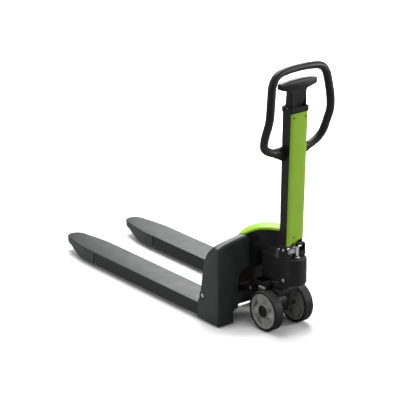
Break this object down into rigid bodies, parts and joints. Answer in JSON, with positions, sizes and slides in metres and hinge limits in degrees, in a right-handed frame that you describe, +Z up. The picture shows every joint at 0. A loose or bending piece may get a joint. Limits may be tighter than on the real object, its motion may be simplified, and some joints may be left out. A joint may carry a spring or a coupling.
{
  "type": "electric pallet truck",
  "caption": "Walk-behind pallet truck with electric travel, a hand-pumped lift, a green battery cover and a tall tiller with a loop handle.",
  "frame": {"origin": "centre of the bounding box on the floor", "axes": "+Y runs along the forks to their tips, +X is the right hand side when facing the forks, +Z is up"},
  "size_m": [0.525, 1.616, 1.3224],
  "materials": {
    "grey_paint": "satin dark grey paint",
    "dark_paint": "matt near-black paint",
    "black_cast": "black paint on cast and folded steel",
    "black_plastic": "fine grained black plastic",
    "green_plastic": "smooth yellow-green plastic",
    "steel": "zinc plated or ground",
    "chrome": "polished",
    "bronze": "turned bearing bronze",
    "hub_grey": "moulded grey",
    "tyre": "dark solid rubber",
    "polyurethane": "moulded polyurethane"
  },
  "bodies": {
    "chassis": {"fork_left": "grey_paint", "fork_right": "grey_paint", "fork_nose_left": "grey_paint", "fork_nose_right": "grey_paint", "backrest_housing": "grey_paint", "battery_tray": "dark_paint", "battery_pack": "black_plastic", "motor_controller": "steel", "contactor": "black_plastic", "shaft_bearing_left": "dark_paint", "shaft_bearing_right": "dark_paint", "arm_axle_left": "steel", "arm_axle_right": "steel", "head_plate": "dark_paint", "hood_base": "black_plastic", "lid_hinge_pin": "steel", "lift_ram": "chrome"},
    "lid": {"battery_lid": "green_plastic"},
    "rocker": {"rocker_shaft": "steel", "rocker_arm_left": "dark_paint", "rocker_arm_right": "dark_paint", "rod_lever_left": "dark_paint", "rod_lever_right": "dark_paint"},
    "rod_left": {"push_rod_left": "steel"},
    "rod_right": {"push_rod_right": "steel"},
    "arm_left": {"roller_arm_left": "dark_paint", "roller_pin_left": "steel"},
    "arm_right": {"roller_arm_right": "dark_paint", "roller_pin_right": "steel"},
    "roller_left": {"load_roller_left": "polyurethane"},
    "roller_right": {"load_roller_right": "polyurethane"},
    "carriage": {"lift_yoke": "black_cast", "steering_bush": "bronze", "thrust_washer": "steel"},
    "turret": {"pump_housing": "black_cast", "wheel_bracket": "black_cast", "tiller_bracket": "black_cast", "tiller_pin": "steel", "traction_motor": "black_cast", "wheel_axle": "steel"},
    "motor": {"motor_rotor": "steel"},
    "wheel_left": {"tyre_left": "tyre", "hub_left": "hub_grey", "wheel_cap_left": "black_plastic", "wheel_ring_gear": "steel"},
    "wheel_right": {"tyre_right": "tyre", "hub_right": "hub_grey", "wheel_cap_right": "black_plastic"},
    "plunger": {"pump_plunger": "chrome"},
    "tiller": {"tiller_channel": "black_cast", "tiller_cover": "green_plastic", "plunger_cam": "black_cast", "tiller_collar": "black_plastic", "release_rod": "steel", "handle_loop": "black_plastic", "loop_bracket": "black_plastic", "lever_pin": "steel"},
    "lever": {"control_lever": "black_plastic"}
  },
  "joints": [
    {"name": "lift", "type": "slide", "parent": "chassis", "child": "carriage", "axis": [0, 0, -1], "range_m": [0, 0.115]},
    {"name": "steering", "type": "hinge", "parent": "carriage", "child": "turret", "pos_m": [0, -0.658, 0.2], "axis": [0, 0, 1], "range_deg": [-90, 90]},
    {"name": "tiller_swing", "type": "hinge", "parent": "turret", "child": "tiller", "pos_m": [0, -0.741, 0.421], "axis": [1, 0, 0], "range_deg": [0, 65]},
    {"name": "plunger_stroke", "type": "slide", "parent": "turret", "child": "plunger", "axis": [0, 0, -1], "range_m": [0, 0.035]},
    {"name": "control_lever", "type": "hinge", "parent": "tiller", "child": "lever", "pos_m": [0, -0.744, 1.11], "axis": [1, 0, 0], "range_deg": [-12, 15], "stiffness_Nm_per_rad": 1.5},
    {"name": "battery_lid", "type": "hinge", "parent": "chassis", "child": "lid", "pos_m": [0, -0.4045, 0.3745], "axis": [-1, 0, 0], "range_deg": [0, 95]},
    {"name": "motor_spin", "type": "hinge", "parent": "turret", "child": "motor", "pos_m": [-0.05, -0.658, 0.135], "axis": [1, 0, 0], "continuous": true},
    {"name": "rocker", "type": "hinge", "parent": "chassis", "child": "rocker", "pos_m": [0, -0.3825, 0.13], "axis": [1, 0, 0], "range_deg": [0, 39.4]},
    {"name": "wheel_left", "type": "hinge", "parent": "turret", "child": "wheel_left", "pos_m": [-0.092, -0.658, 0.099], "axis": [1, 0, 0], "continuous": true},
    {"name": "push_rod_left", "type": "slide", "parent": "chassis", "child": "rod_left", "axis": [0, 1, 0], "range_m": [0, 0.0253]},
    {"name": "roller_arm_left", "type": "hinge", "parent": "chassis", "child": "arm_left", "pos_m": [-0.1875, 0.407, 0.036], "axis": [-1, 0, 0], "range_deg": [0, 49.7]},
    {"name": "load_roller_left", "type": "hinge", "parent": "arm_left", "child": "roller_left", "pos_m": [-0.1875, 0.557, 0.038], "axis": [1, 0, 0], "continuous": true},
    {"name": "wheel_right", "type": "hinge", "parent": "turret", "child": "wheel_right", "pos_m": [0.092, -0.658, 0.099], "axis": [1, 0, 0], "continuous": true},
    {"name": "push_rod_right", "type": "slide", "parent": "chassis", "child": "rod_right", "axis": [0, 1, 0], "range_m": [0, 0.0253]},
    {"name": "roller_arm_right", "type": "hinge", "parent": "chassis", "child": "arm_right", "pos_m": [0.1875, 0.407, 0.036], "axis": [-1, 0, 0], "range_deg": [0, 49.7]},
    {"name": "load_roller_right", "type": "hinge", "parent": "arm_right", "child": "roller_right", "pos_m": [0.1875, 0.557, 0.038], "axis": [1, 0, 0], "continuous": true}
  ],
  "couplings": [
    {"joint": "plunger_stroke", "follows": "tiller_swing", "m_per_rad": 0.0308},
    {"joint": "motor_spin", "follows": "wheel_left", "ratio": 4},
    {"joint": "rocker", "follows": "lift", "rad_per_m": 5.972},
    {"joint": "push_rod_left", "follows": "lift", "ratio": 0.219},
    {"joint": "roller_arm_left", "follows": "lift", "rad_per_m": 7.534},
    {"joint": "push_rod_right", "follows": "lift", "ratio": 0.219},
    {"joint": "roller_arm_right", "follows": "lift", "rad_per_m": 7.534}
  ]
}
